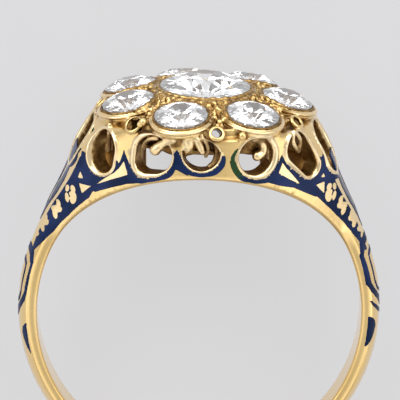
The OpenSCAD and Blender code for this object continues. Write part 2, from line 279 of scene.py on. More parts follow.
def loop_distance(u, z, loop):
    """Distance to one loop's opening, a round top that narrows to its foot"""
    lean = math.radians(loop.lean)
    foot_r, top_r = loop.foot_r, loop.top_r
    foot = loop.low + foot_r
    length = (loop.top - top_r - foot) / math.cos(lean)
    du = u - length * math.sin(lean)
    dz = z - foot
    side = np.abs(du * math.cos(lean) + dz * math.sin(lean))
    rise = dz * math.cos(lean) - du * math.sin(lean)
    b = (foot_r - top_r) / length
    a = math.sqrt(1 - b * b)
    k = a * rise - b * side
    below = np.hypot(side, rise) - foot_r
    above = np.hypot(side, rise - length) - top_r
    return np.where(k < 0, below, np.where(k > a * length, above, a * side + b * rise - foot_r))


def loop_rim(u, loop):
    """Width of a loop's rim, which may differ from one side to the other"""
    return loop.rim_left + (loop.rim_right - loop.rim_left) * step(-0.8, 0.8, u)


def loops(x, y, z):
    """Distance to the nearest pierced loop, and to the outside of the nearest rim"""
    best = rims = empty(x, y, z)
    for loop in LOOPS:
        if apart(x, y, z, LOOP_R * plan_direction(loop.angle) + LOOP_Z * UP, LOOP_REACH):
            continue
        u, w = turned(x, y, loop.angle)
        gap = loop_distance(u, z, loop)
        best = np.minimum(best, np.maximum(gap, LOOP_INNER - w))
        rims = np.minimum(rims, np.maximum(gap - loop_rim(u, loop), LOOP_INNER - w))
    return best, rims


def hollow(x, y, z):
    """The space inside the gallery, with a hammered look"""
    side, flank, cone = head_walls(x, y, z)
    inside = smax(smax(flank, cone, 0.4), side, 0.3) + WALL_T
    lumps = 0.03 * np.sin(5.1 * x + 1.3 * z) * np.sin(4.3 * y + 2) * np.sin(4.7 * z + x)
    return smax(inside + lumps, LEDGE_Z - z, 0.15)


def gold_body(x, y, z):
    """The hoop, the shoulders and the pierced wall, with the loops' rims"""
    gap, rim = loops(x, y, z)
    wide = np.maximum(gap - rim, 0.05)
    across = np.clip(2 * gap / wide - 1, -1, 1)
    form = outer_form(x, y, z) - np.minimum(RIM_DOME, RIM_DOME_SHARE * wide) * (1 - across**2)
    r = np.sqrt(x * x + z * z)
    form = smax(form, HOLE_R - r, 0.28)
    if z.max() > HOLLOW_FROM:
        form = smax(form, -hollow(x, y, z), 0.12)
        form = smax(form, -gap, 0.16)
    return form


def stone_angle(i):
    return STONE_FIRST + i * 360 / STONE_COUNT + STONE_TURNS[i % STONE_COUNT]


def stone_frames():
    """Middle, axis and outward direction of each outer stone"""
    rows = []
    for i in range(STONE_COUNT):
        out = plan_direction(stone_angle(i))
        axis = math.cos(STONE_LEAN) * UP + math.sin(STONE_LEAN) * out
        side = math.cos(STONE_LEAN) * out - math.sin(STONE_LEAN) * UP
        rows.append((STONE_RING_R * out + STONE_Z * UP, axis, side))
    return rows


STONES = stone_frames()


def gap_direction(i, turn=0):
    """The direction of the gap between an outer stone and the next"""
    return plan_direction((stone_angle(i) + stone_angle(i + 1)) / 2 + turn)


def eyelets():
    """Middle, axis, way through, and radius of the hole and of the ring of each eyelet"""
    rows = []
    for i in range(STONE_COUNT):
        out = gap_direction(i, FRONT_EYELET_TURN if i == FRONT_EYELET else 0)
        axis = math.cos(EYELET_LEAN) * UP + math.sin(EYELET_LEAN) * out
        way = math.cos(EYELET_RISE) * out + math.sin(EYELET_RISE) * UP
        radii = WIDE_EYELET_RADII if i == WIDE_EYELET else EYELET_RADII
        rows.append((EYELET_R * out + EYELET_Z * UP, axis, way, *radii))
    return rows


EYELETS = eyelets()


def grains():
    """Small claws and grains: middle and radius"""
    rows = []
    for i in range(STONE_COUNT):
        out = gap_direction(i)
        across = np.array([-out[1], out[0], 0])
        for far, high, aside, radius in GAP_GRAINS:
            rows.append((far * out + high * UP + aside * across, radius))
        middle, axis, side = STONES[i]
        turn = np.cross(axis, side)
        for k, angle in enumerate(CLAW_ANGLES):
            s = math.radians(angle + rng.uniform(-6, 6))
            at = middle + CLAW_R * (math.cos(s) * side + math.sin(s) * turn) + 0.03 * axis
            rows.append((at, 0.1 if k else 0.12))
    for k in range(CENTRE_CLAWS):
        s = math.radians(360 / CENTRE_CLAWS * k + 11 + rng.uniform(-5, 5))
        rows.append((CENTRE_CLAW_R * np.array([math.cos(s), math.sin(s), 0]) + CENTRE_CLAW_Z * UP, 0.12))
    return rows + LOOSE_GRAINS


GRAINS = grains()


def squared(x, y, z, middle):
    """Squared distance from a point"""
    return (x - middle[0]) ** 2 + (y - middle[1]) ** 2 + (z - middle[2]) ** 2


def offset(x, y, z, middle, axis):
    """How far along an axis each point lies from the middle"""
    return (x - middle[0]) * axis[0] + (y - middle[1]) * axis[1] + (z - middle[2]) * axis[2]


def along(x, y, z, middle, axis):
    """Height along an axis and distance from it"""
    height = offset(x, y, z, middle, axis)
    return height, np.sqrt(np.maximum(0, squared(x, y, z, middle) - height * height))


def lobe(height, radius):
    """The metal round an outer stone: a disc with a sloping top and a wire along its edge"""
    top = (height - 0.05 + (radius - 1.4) * 0.8) * 0.78
    disc = smax(smax(radius - LOBE_R, top, 0.05), -0.48 - height, 0.2)
    edge = np.sqrt((radius - LOBE_EDGE_R) ** 2 + (height - LOBE_EDGE_Z) ** 2) - 0.065
    return smin(disc, edge, 0.03)


def bright_cut(x, y, z):
    """Ridges that a graver leaves in the metal between the stones"""
    a = np.arctan2(x, -y)
    r = np.sqrt(x * x + y * y)
    wave = np.abs(np.sin(15 * a + 1.1 * np.sin(3 * r))) + 0.5 * np.sin(41 * a + 5 * r + 1)
    pits = np.sin(7.3 * x + 2 * y) * np.sin(8.1 * y - 1.3 * x) * np.sin(13 * r)
    cuts = np.abs(np.sin(9.1 * x + 3.7 * y + 0.8 * np.sin(6 * y))) - np.abs(np.sin(10.3 * y - 2.9 * x))
    return (0.11 * (wave - 0.5) + 0.1 * pits + 0.09 * cuts) * step(2.35, 2.6, r)


def seat(height, radius, stone_r, ledge):
    """The room for a stone: a short wall round its girdle, and a cone under it"""
    wall = np.maximum(radius - stone_r - ledge, -0.13 - height)
    cone = (radius - (stone_r + 0.02 + (height + 0.12) * SEAT_SLOPE)) / math.hypot(1, SEAT_SLOPE)
    return np.minimum(wall, np.maximum(cone, -0.12 - SEAT_DEPTH * stone_r - height))


def crown(x, y, z):
    """The plate, the cut metal between the stones, the lobes, the cups, the eyelets' rings and the grains"""
    r = np.sqrt(x * x + y * y)
    cut = bright_cut(x, y, z)
    plate = smax(r - PLATE_R, np.abs(z - PLATE_Z) - PLATE_HALF, 0.1)
    swell = 11.66 - 0.27 * (r - 2.6) - 0.5 * step(4.0, 4.9, r)
    disc = smax(r - DISC_R, np.maximum((z - swell) * 0.95 + cut, DISC_FOOT - z), 0.2)
    collar = smax((r - np.interp(z, COLLAR_Z, COLLAR_R) - cut) * 0.8, z - COLLAR_Z[-1], 0.06)
    collar = smax(collar, DISC_FOOT - z, 0.1)
    form = smin(smin(plate, disc, 0.15), collar, 0.12)
    cup = smax(r - 2.35 - 0.3 * (z - 10.2), 10.15 - z, 0.15)
    form = smin(form, smax(cup, z - PLATE_Z, 0.1), 0.15)
    if z.min() < WEB_TO:
        web = smax(np.abs(r - WEB_R) - WEB_HALF, np.abs(z - WEB_Z) - WEB_HALF_T, 0.1)
        form = smin(form, web, 0.1)
    for middle, axis, _ in STONES:
        if apart(x, y, z, middle, 2.4):
            continue
        height, radius = along(x, y, z, middle, axis)
        form = smin(form, lobe(height, radius), 0.1)
        cup = smax(smax(radius - 1.36 - 0.18 * height, -1.7 - height, 0.12), height + 0.3, 0.1)
        form = smin(form, cup, 0.12)
    for at, axis, _, hole_r, ring_r in EYELETS:
        if not apart(x, y, z, at, 2.6):
            height, radius = along(x, y, z, at, axis)
            ring = np.sqrt((radius - (hole_r + ring_r) / 2) ** 2 + height * height)
            form = smin(form, ring - (ring_r - hole_r) / 2 - 0.02, 0.08)
    for middle, radius in GRAINS:
        if not apart(x, y, z, middle, 0.7):
            form = smin(form, np.sqrt(squared(x, y, z, middle)) - radius, 0.05)
    return form


def crown_cuts(x, y, z):
    """The stones' seats, and the eyelets' holes with the way through behind each"""
    r = np.sqrt(x * x + y * y)
    cuts = empty(x, y, z)
    for middle, axis, _ in STONES:
        if not apart(x, y, z, middle, 2.4):
            height, radius = along(x, y, z, middle, axis)
            cuts = np.minimum(cuts, seat(height, radius, STONE_R, 0.1))
    if not apart(x, y, z, (0, 0, CENTRE_Z), 3.2):
        cuts = np.minimum(cuts, seat(z - CENTRE_Z, r, CENTRE_R, 0.05))
    for at, axis, way, hole_r, _ in EYELETS:
        if not apart(x, y, z, at, 3.4):
            height, radius = along(x, y, z, at, axis)
            depth, bore = along(x, y, z, at, way)
            cuts = np.minimum(cuts, np.maximum(bore - hole_r - 0.02, np.abs(depth + 1.3) - 1.3))
            cuts = np.minimum(cuts, np.maximum(radius - hole_r, np.abs(height) - 0.3))
    return cuts


def lips(x, y, z):
    """The metal turned over the stones' edges, rough and wide on the crown's inner side"""
    r = np.sqrt(x * x + y * y)
    rough = np.sin(9.3 * x + 2 * y) * np.sin(8.7 * y - 2.3 * x)
    form = np.sqrt((r - CENTRE_R - 0.03) ** 2 + (z - CENTRE_Z - 0.04) ** 2) - 0.11 - 0.035 * rough
    for middle, axis, side in STONES:
        if apart(x, y, z, middle, 2.2):
            continue
        height, radius = along(x, y, z, middle, axis)
        inner = step(0.3, -0.7, offset(x, y, z, middle, side))
        wire = np.sqrt((radius - STONE_R - 0.03) ** 2 + (height - 0.03 * inner) ** 2)
        form = np.minimum(form, wire - 0.055 - (0.075 + 0.04 * rough) * inner)
    return form


def hooked(points):
    """A smooth run of points through a scroll's few corners: offset, height and radius"""
    points = np.array(points, float)
    t = np.linspace(0, len(points) - 1, 4 * (len(points) - 1) + 1)
    table = [smooth_table(np.arange(len(points)), points[:, c], 200) for c in range(3)]
    return np.stack([np.interp(t, *column) for column in table], axis=1)


# The wires that the scrolls are made of: [offset, height, radius] along each
HOOK = [(-0.2, 10.48, 0.18), (0.2, 10.34, 0.2), (0.46, 9.96, 0.21), (0.42, 9.64, 0.2), (0.14, 9.5, 0.26)]
CURL = [(1.0, 10.42, 0.24), (0.62, 10.24, 0.21), (0.3, 10.0, 0.22), (0.0, 9.72, 0.29)]
ARCH = [(-0.78, 9.3, 0.08), (-0.72, 9.8, 0.1), (-0.4, 10.2, 0.12), (0.1, 10.33, 0.12)]
DROP = [(0.05, 10.5, 0.12), (0.03, 10.1, 0.12), (0, 9.6, 0.14), (-0.03, 9.2, 0.2)]
LEAF = [(-0.2, 10.5, 0.1), (0.22, 10.15, 0.13), (0.36, 9.8, 0.13), (0.2, 9.45, 0.16)]
STEM = [(-0.2, 10.5, 0.1), (-0.3, 10.1, 0.12), (-0.1, 9.7, 0.14), (0.2, 9.45, 0.16)]
STRAP = [(-0.36, 10.6, 0.22), (-0.14, 10.2, 0.21), (0.04, 9.8, 0.16)]
BOW = [(0.0, 10.6, 0.1), (0.24, 10.25, 0.11), (0.32, 9.9, 0.1), (0.22, 9.6, 0.09)]
EDGE = [(0.5, 10.4, 0.14), (0.72, 10.0, 0.16), (0.78, 9.6, 0.17), (0.66, 9.2, 0.16), (0.4, 8.98, 0.12)]
FLAP = [(-0.7, 10.4, 0.32), (-0.66, 10.1, 0.27), (-0.74, 9.82, 0.14)]


def flipped(points):
    return [(-u, *rest) for u, *rest in points]


# Height of the scrolls' middle, their reach from there, and how much further in the edge wire lies
SCROLL_Z = 9.9
SCROLL_REACH = 1.6
EDGE_INSET = 0.28
# Each loop's scrolls: how far out their plane lies, and their wires
SCROLLS = [(5.55, [DROP]), (5.6, [DROP]), (5.22, [CURL, ARCH]), (5.12, [STRAP, BOW, FLAP, EDGE]),
           (5.2, [HOOK, flipped(ARCH)]), (5.6, [LEAF, STEM]), (5.5, [flipped(DROP)]), (5.5, [DROP]),
           (5.6, [flipped(LEAF), flipped(STEM)]), (5.2, [flipped(HOOK), ARCH]),
           (5.12, [flipped(STRAP), flipped(BOW)]), (5.22, [flipped(CURL), flipped(ARCH)]),
           (5.6, [DROP]), (5.55, [DROP])]


def scrolls(x, y, z):
    """The curled wires in the loops' tops"""
    form = empty(x, y, z)
    for loop, (depth, wires) in zip(LOOPS, SCROLLS):
        if apart(x, y, z, depth * plan_direction(loop.angle) + SCROLL_Z * UP, SCROLL_REACH):
            continue
        u, w = turned(x, y, loop.angle)
        w = w - depth
        for wire in wires:
            deep = w + EDGE_INSET if wire is EDGE else w
            run = hooked(wire)
            for (u0, z0, r0), (u1, z1, r1) in zip(run, run[1:]):
                du, dz = u1 - u0, z1 - z0
                t = np.clip(((u - u0) * du + (z - z0) * dz) / (du * du + dz * dz), 0, 1)
                gap = np.sqrt((u - u0 - t * du) ** 2 + (z - z0 - t * dz) ** 2 + deep * deep)
                form = smin(form, gap - r0 - t * (r1 - r0), 0.03)
    return form


def gold(x, y, z):
    """All of the gold"""
    form = gold_body(x, y, z)
    if z.max() > CROWN_FROM:
        form = smin(smin(form, crown(x, y, z), 0.2), scrolls(x, y, z), 0.08)
        form = smax(form, -crown_cuts(x, y, z), 0.04)
    if z.max() > LIPS_FROM:
        form = smin(form, lips(x, y, z), 0.04)
    return form


# How far a layer of the gold goes into the next one, and how much it is drawn in there
LAP = 0.12
LAP_INSET = 0.012


def gold_layer(bottom, top):
    """The gold between two heights, as a field for the shading and one for the mesh"""
    def whole(x, y, z):
        return gold(x, y, z) + LAP_INSET * step(top - 0.16, top - 0.1, z)

    def cut(x, y, z):
        return np.maximum(whole(x, y, z), np.maximum(z - top - LAP, bottom - LAP - z))
    return whole, cut


def gradient(shape, points, h=0.004):
    """The direction in which a field grows, and how fast it does"""
    normal = np.zeros_like(points)
    for corner in ((1, -1, -1), (-1, -1, 1), (-1, 1, -1), (1, 1, 1)):
        c = np.array(corner, float)
        q = points + h * c
        normal += c * shape(q[:, 0], q[:, 1], q[:, 2])[:, None]
    length = np.linalg.norm(normal, axis=1)
    return normal / np.maximum(length, 1e-9)[:, None], length / (4 * h)


def surface(shape, low, high, voxel, adaptivity, shade=None):
    """Meshes a distance field, one block of voxels after another near its surface. The field for the
    shading may go on where the mesh is cut off."""
    shade = shade or shape
    cells = 20
    edge = cells * voxel
    near = 1.15 * edge
    grid = openvdb.FloatGrid(1.0)
    counts = [int(math.ceil((b - a) / edge)) for a, b in zip(low, high)]
    axes = [a + edge * (np.arange(n) + 0.5) for a, n in zip(low, counts)]
    middle = shape(axes[0][:, None, None], axes[1][None, :, None], axes[2][None, None, :])
    middle = np.broadcast_to(middle, counts)
    solid = np.full((cells, cells, cells), -1, np.float32)
    for i, j, k in np.ndindex(*counts):
        value = middle[i, j, k]
        corner = (i * cells, j * cells, k * cells)
        if value > near:
            continue
        if value < -near:
            grid.copyFromArray(solid, ijk=corner)
            continue
        x, y, z = (low[d] + (corner[d] + np.arange(cells)) * voxel for d in range(3))
        block = shape(x[:, None, None], y[None, :, None], z[None, None, :])
        grid.copyFromArray(np.clip(block / (4 * voxel), -1, 1).astype(np.float32), ijk=corner)
    points, triangles, quads = grid.convertToPolygons(isovalue=0.0, adaptivity=adaptivity)
    points = np.asarray(low) + points.astype(float) * voxel
    faces = np.concatenate([triangles, quads[:, :3], quads[:, [0, 2, 3]]]) if len(quads) else triangles
    a, b, c = faces.T
    faces = faces[(a != b) & (b != c) & (a != c)]
    for _ in range(2):
        normal, size = gradient(shade, points)
        push = shade(points[:, 0], points[:, 1], points[:, 2]) / np.maximum(size, 0.3)
        push = np.where(np.abs(push) < voxel, np.clip(push, -0.3 * voxel, 0.3 * voxel), 0)
        points -= push[:, None] * normal
    normal, _ = gradient(shade, points, 0.012)
    a, b, c = (points[faces[:, n]] for n in range(3))
    facing = np.einsum("ij,ij->i", np.cross(b - a, c - a), normal[faces[:, 0]])
    if np.sum(facing) < 0:
        faces = faces[:, ::-1]
    return points, faces, normal


def new_object(name, data):
    obj = bpy.data.objects.new(name, data)
    bpy.context.scene.collection.objects.link(obj)
    return obj


def add_piece(name, points, faces, normal, material, slot, nodes, **fields):
    """Adds one mesh that rides the ring and replaces CAD nodes, with numbers for its points"""
    mesh = bpy.data.meshes.new(name)
    mesh.vertices.add(len(points))
    mesh.vertices.foreach_set("co", to_world(points).ravel())
    mesh.loops.add(3 * len(faces))
    mesh.loops.foreach_set("vertex_index", faces.ravel())
    mesh.polygons.add(len(faces))
    mesh.polygons.foreach_set("loop_start", np.arange(0, 3 * len(faces), 3))
    mesh.update(calc_edges=True)
    mesh.polygons.foreach_set("use_smooth", np.ones(len(faces), bool))
    mesh.normals_split_custom_set_from_vertices(normal @ TO_WORLD.T)
    for key, values in fields.items():
        mesh.attributes.new(key, "FLOAT", "POINT").data.foreach_set("value", values.astype(np.float32))
    mesh.materials.append(material)
    obj = new_object(name, mesh)
    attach(obj, "root")
    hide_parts(*nodes)
    print(name, len(points), "points", len(faces), "triangles")


def openness(shape, points, normal, reaches):
    """How free each point is of metal in front of it, from 0 to 1"""
    total = np.zeros(len(points))
    for reach in reaches:
        q = points + reach * normal
        total += np.clip(shape(q[:, 0], q[:, 1], q[:, 2]) / reach, 0, 1)
    return total / len(reaches)


def polygon_distance(a, b, corners):
    """Signed distance from points of a plane to a polygon, negative inside"""
    corners = np.asarray(corners, float)
    best = np.full(a.shape, 1e9)
    inside = np.zeros(a.shape, bool)
    for (pa, pb), (qa, qb) in zip(corners, np.roll(corners, -1, axis=0)):
        da, db = qa - pa, qb - pb
        t = np.clip(((a - pa) * da + (b - pb) * db) / max(da * da + db * db, 1e-12), 0, 1)
        best = np.minimum(best, (a - pa - t * da) ** 2 + (b - pb - t * db) ** 2)
        if pb != qb:
            crosses = (pb > b) != (qb > b)
            inside ^= crosses & (a < pa + (b - pb) * da / db)
    return np.where(inside, -1, 1) * np.sqrt(best)


def petal(a, b, middle, half, turn):
    """Signed distance to a small ellipse, good near its edge"""
    c, s = math.cos(math.radians(turn)), math.sin(math.radians(turn))
    u = ((a - middle[0]) * c + (b - middle[1]) * s) / half[0]
    v = (-(a - middle[0]) * s + (b - middle[1]) * c) / half[1]
    r = np.sqrt(u * u + v * v)
    return (r - 1) * r / np.maximum(np.sqrt((u / half[0]) ** 2 + (v / half[1]) ** 2), 1e-6)


def polar(radius, angle):
    """A place seen along the finger, from its radius and angle from the top"""
    a = math.radians(angle)
    return radius * math.sin(a), radius * math.cos(a)


# Step of the distance maps, and millimetres along the ring for a degree of angle
MAP_STEP = 0.025
DEGREE = 0.16
# On the side of -X, then of +X, as [angle from the top, radius]: the flower motifs in the enamel of the
# shoulders, that enamel's inner edge, and the small gold wedges above the motifs
MOTIFS = {-1: [(46.0, 9.36), (53.4, 9.27), (60.0, 9.35), (65.2, 9.46)],
          1: [(43.0, 9.54), (49.3, 9.41), (55.6, 9.4), (60.6, 9.46)]}
LOWER_EDGE = {-1: [(35, 8.8), (38.7, 8.93), (41.6, 8.75), (51.7, 8.66), (60.2, 8.7), (67, 9.0), (70.5, 9.18)],
              1: [(33, 8.93), (38.9, 9.01), (44.1, 8.92), (50.3, 8.88), (55.9, 8.92), (60.2, 8.97),
                  (67.5, 9.17)]}
WEDGES = {-1: [[(38.6, 10.03), (40.5, 9.84), (39.1, 9.67)], [(41.3, 9.58), (38.5, 9.2), (42.4, 9.11)]],
          1: [[(35.5, 10.25), (38.0, 9.99), (36.7, 9.84)], [(38.8, 9.78), (41.2, 9.31), (37.1, 9.45)]]}
# Spandrels between the loops, as [x, z]: the enamel, then the gold triangle left in it
SPANDRELS = {
    -1: [[(-4.08, 9.54), (-3.98, 9.25), (-3.83, 8.92), (-3.6, 8.52), (-3.3, 8.2), (-3.0, 7.98),
          (-3.84, 7.77), (-4.64, 7.41), (-5.5, 6.95), (-5.9, 7.4), (-5.4, 7.8), (-5.0, 8.02), (-4.6, 8.4),
          (-4.27, 8.85), (-4.15, 9.25)],
         [(-4.07, 8.9), (-3.87, 8.25), (-4.66, 7.84), (-5.45, 7.38), (-4.95, 7.86), (-4.55, 8.19),
          (-4.28, 8.52)]],
    1: [[(3.84, 9.52), (3.74, 9.25), (3.62, 9.0), (3.4, 8.7), (3.26, 8.35), (2.9, 8.2), (3.2, 8.1),
         (3.85, 7.83), (4.51, 7.63), (5.02, 7.32), (5.7, 6.9), (6.0, 7.3), (5.5, 7.72), (5.15, 7.92),
         (4.75, 8.2), (4.4, 8.6), (4.13, 8.98), (3.95, 9.3)],
        [(3.9, 9.04), (3.72, 8.54), (4.25, 8.15), (4.85, 7.76), (4.45, 8.3), (4.08, 8.75)]]}
# The petals of the first motif and of the others: offset across and up, half sizes, and turn in degrees
FIRST_PETALS = [(-0.18, 0.27, 0.1, 0.19, 10), (-0.18, -0.22, 0.1, 0.25, -8), (0.11, 0.3, 0.13, 0.2, -8),
                (0.13, -0.16, 0.17, 0.33, 8), (0.02, 0.02, 0.1, 0.12, 0)]
OTHER_PETALS = [(0.08, 0.33, 0.13, 0.22, -12), (-0.08, -0.32, 0.13, 0.24, -12),
                (-0.16, -0.03, 0.13, 0.17, 20), (0.16, 0.02, 0.13, 0.17, 20), (0, 0, 0.15, 0.22, 0)]
# The enamel's peaks: after which loops they stand on the front and on the back, the height of their tip,
# and the offset and height from it of their edge and of their foot
PEAKS = {1: (2,), -1: (9, 10)}
PEAK_Z = 9.92
PEAK_EDGE = [(0.17, -0.24), (0.32, -0.6), (0.62, -1.35)]
PEAK_FOOT = (0, -1.06)


def motif(x, z, middle, side, k):
    """Four joined petals, in two pairs for the first motif and crosswise for the others"""
    size = 1 - 0.05 * k
    form = empty(x, x, z)
    for du, dz, wide, high, turn in OTHER_PETALS if k else FIRST_PETALS:
        spot = (middle[0] - side * du * size, middle[1] + dz * size)
        form = smin(form, petal(x, z, spot, (wide * size, high * size), side * turn), 0.03)
    return form


def flank_pattern(face):
    """The enamel of one flank as a distance map over (x, z): negative in the enamel"""
    xs = np.arange(-9.4, 9.401, MAP_STEP)
    zs = np.arange(2.0, 10.8, MAP_STEP)
    x, z = np.meshgrid(xs, zs, indexing="ij")
    cone_r = WALL_TOP_R + WALL_FLARE * np.maximum(0, WALL_TOP - z)
    y = -face * np.minimum(flank_at(x), np.sqrt(np.maximum(0, cone_r**2 - x * x)))
    ink = rims = empty(x, y, z)
    for loop in LOOPS:
        u, w = turned(x, y, loop.angle)
        gap = np.where(w > 2, loop_distance(u, z, loop) - loop_rim(u, loop), FAR)
        rims = np.minimum(rims, gap)
        if face * math.cos(math.radians(loop.angle)) > 0.1:
            end = np.where(u < 0, loop.enamel_left, loop.enamel_right)
            tip = np.clip((end - z) / 0.7, 0, 1)
            thick = (0.22 + 0.1 * step(0.2, 0.9, np.abs(u))) * np.sqrt(tip)
            band = np.maximum(-gap, gap - thick)
            ink = np.minimum(ink, np.where((w > 2) & (tip > 0), band, FAR))
    for i in PEAKS[face]:
        u, w = turned(x, y, (LOOPS[i].angle + LOOPS[i + 1].angle) / 2)
        peak = polygon_distance(u, z - PEAK_Z, [(0, 0), *PEAK_EDGE, PEAK_FOOT, *flipped(PEAK_EDGE[::-1])])
        ink = np.minimum(ink, np.where(w > 2, peak, FAR))
    radius = np.sqrt(x * x + z * z)
    angle = np.degrees(np.arctan2(np.abs(x), z))
    for side in (-1, 1):
        here = side * x > 0
        drawn = 1 if face < 0 else side
        flip = 1 if face > 0 else side * 0.94
        spandrel, triangle = ([(flip * px, pz) for px, pz in corners] for corners in SPANDRELS[drawn])
        spandrel = polygon_distance(x, z, spandrel)
        lower = np.interp(angle, *zip(*LOWER_EDGE[side]))
        field = np.maximum(lower - radius, (36 - angle) * DEGREE)
        ridge = np.interp(z, [5.5, 7.5, 9], [0.06, 0.14, 0.24])
        field = np.maximum(field, np.abs(x) - np.interp(z, *SIDE_TABLE) + ridge)
        field = np.maximum(field, (angle - LOWER_EDGE[side][-1][0]) * DEGREE)
        spire = polygon_distance(np.abs(x), z, [(5.9, 8.0), (6.4, 7.7), (6.2, 8.9), (6.05, 8.9)])
        field = np.minimum(np.minimum(field, spire), spandrel)
        for k, place in enumerate(MOTIFS[side]):
            field = np.maximum(field, -motif(x, z, polar(place[1], side * place[0]), side, k))
        for corners in WEDGES[side]:
            wedge = [polar(r, side * a) for a, r in corners]
            field = np.maximum(field, -polygon_distance(x, z, wedge))
        ink = np.minimum(ink, np.where(here, field, FAR))
        ink = np.maximum(ink, -polygon_distance(x, z, triangle))
    if face > 0:
        patch = [(-6.2, 9.5), (-6.0, 9.42), (-5.6, 9.98), (-5.68, 10.12), (-5.85, 10.05)]
        ink = np.minimum(ink, polygon_distance(x, z, patch))
    return xs, zs, np.maximum(ink, -rims)


# Radius of the outer faces, for distances along them
FACE_R = 9.3


def face_pattern(side):
    """The enamel of an outer face as a distance map over (y, angle from the top in degrees). On the side of
    -X the hoop's part of it sits lower and is narrower, and the chevron is missing."""
    shift, wide, drop = (6, 0.9, 5) if side < 0 else (0, 1, 0)
    ys = np.arange(-3, 3.001, MAP_STEP)
    angles = np.arange(28, 112, 0.16)
    y, angle = np.meshgrid(ys, angles, indexing="ij")
    s = FACE_R * np.radians(angle)
    y = np.abs(y)

    def region(table, shift=0, wide=1):
        """Distance to a shape given by half its width at some angles"""
        degrees, half = (np.array(column) for column in zip(*table))
        degrees = degrees + shift
        ends = np.maximum(FACE_R * math.radians(degrees[0]) - s, s - FACE_R * math.radians(degrees[-1]))
        return np.maximum(y - wide * np.interp(angle, degrees, half), ends)

    panel = region([(36, 1.5), (44, 1.3), (50, 0.95), (55, 0.5), (59, 0.2), (61, 0)])
    leaf = region([(39, 0), (41, 0.5), (43, 0.62), (46, 0.5), (48.5, 0.18), (50, 0.25), (53, 0.3), (56, 0)])
    vein = region([(40, 0), (43, 0.07), (47, 0.06), (48, 0)])
    panel = np.minimum(np.maximum(panel, -leaf), vein)
    bars = region([(62.5, 0.3), (64, 0.9), (67.5, 1.1), (78, 1.12), (81, 1.02), (83.5, 0.7), (86, 0.3),
                   (87.5, 0)], shift, wide)
    inner = region([(64.5, 0), (66, 0.6), (68.5, 0.93), (78, 0.9), (80.5, 0.7), (83, 0.35), (84.5, 0)],
                   shift, wide)
    second = region([(67, 0), (69, 0.56), (72, 0.62), (79, 0.6), (81.5, 0.4), (83, 0)], shift, wide)
    third = region([(68.5, 0), (70, 0.46), (78, 0.5), (80.5, 0.3), (82, 0)], shift, wide)
    bars = np.minimum(np.maximum(bars, -inner), np.maximum(second, -third))
    chevron = region([(84, 1.1), (86, 0.98), (88.5, 0.54), (90, 0)], shift, wide)
    chevron = np.maximum(chevron, -region([(83.5, 1.08), (85, 0.9), (87.4, 0.4), (89, 0)], shift, wide))
    tail = region([(89.4, 1.14), (100.3, 1.14)], drop, wide)
    within = region([(88, 1.1), (89.4, 1.1), (91, 0.82), (93, 0.7), (96.5, 0.84), (100.3, 1.12), (102, 1.13)],
                    drop, wide)
    tail = np.maximum(tail, -within)
    ink = np.minimum(np.minimum(panel, bars), tail)
    return ys, angles, ink if side < 0 else np.minimum(ink, chevron)


def lookup(table, a, b):
    """Reads a distance map between its points"""
    ga, gb, values = table
    a, b = np.broadcast_arrays(a, b)
    fa = np.clip((a - ga[0]) / (ga[1] - ga[0]), 0, len(ga) - 1.001)
    fb = np.clip((b - gb[0]) / (gb[1] - gb[0]), 0, len(gb) - 1.001)
    i, j = fa.astype(int), fb.astype(int)
    fa, fb = fa - i, fb - j
    return ((values[i, j] * (1 - fa) + values[i + 1, j] * fa) * (1 - fb)
            + (values[i, j + 1] * (1 - fa) + values[i + 1, j + 1] * fa) * fb)


# How far the enamel stands out of the gold, and how deep it goes
ENAMEL_PROUD = 0.02
ENAMEL_DEEP = 0.09


def enamel_field(pattern, face, side):
    """The enamel of a flank, or of an outer face where a side is given, as a distance field"""
    def field(x, y, z):
        form = outer_form(x, y, z)
        skin = np.maximum(form - ENAMEL_PROUD, -ENAMEL_DEEP - form)
        if side:
            angle = np.degrees(np.arctan2(side * x, z))
            ink = lookup(pattern, y, angle)
            ink = np.maximum(ink, np.maximum(4 - side * x, 8.7 - np.sqrt(x * x + z * z)))
        else:
            ink = np.maximum(lookup(pattern, x, z), 0.4 + face * y)
        return smax(skin, ink, 0.02)
    return field


def node(tree, kind, **values):
    made = tree.nodes.new(kind)
    for key, value in values.items():
        setattr(made, key, value)
    return made


def attribute(tree, name):
    return node(tree, "ShaderNodeAttribute", attribute_name=name).outputs["Fac"]


def new_material(name, **constants):
    """A material whose shader has some constants, with its node tree and shader"""
    material = bpy.data.materials.new(name)
    material.use_nodes = True
    tree = material.node_tree
    shader = tree.nodes["Principled BSDF"]
    for key, value in constants.items():
        shader.inputs[key.replace("_", " ")].default_value = value
    return material, tree, shader


def mixed(tree, factor, low, high):
    """A colour between two, by a factor from another node"""
    mix = node(tree, "ShaderNodeMix", data_type="RGBA")
    for i, colour in ((6, low), (7, high)):
        if isinstance(colour, tuple):
            mix.inputs[i].default_value = colour
        else:
            tree.links.new(colour, mix.inputs[i])
    tree.links.new(factor, mix.inputs[0])
    return mix.outputs[2]


def noise(tree, scale, detail, rough=0.5):
    coords = node(tree, "ShaderNodeTexCoord")
    made = node(tree, "ShaderNodeTexNoise")
    made.inputs["Scale"].default_value = scale
    made.inputs["Detail"].default_value = detail
    made.inputs["Roughness"].default_value = rough
    tree.links.new(coords.outputs["Object"], made.inputs["Vector"])
    return made.outputs["Fac"]


def ranged(tree, value, from_low, from_high, to_low, to_high):
    made = node(tree, "ShaderNodeMapRange", clamp=True)
    for i, number in enumerate((from_low, from_high, to_low, to_high), 1):
        made.inputs[i].default_value = number
    tree.links.new(value, made.inputs[0])
    return made.outputs[0]


def speckle(tree, scale, detail, from_low, from_high, to_low=0, to_high=1, rough=0.5):
    """A noise, stretched from between two of its values to between two others"""
    return ranged(tree, noise(tree, scale, detail, rough), from_low, from_high, to_low, to_high)


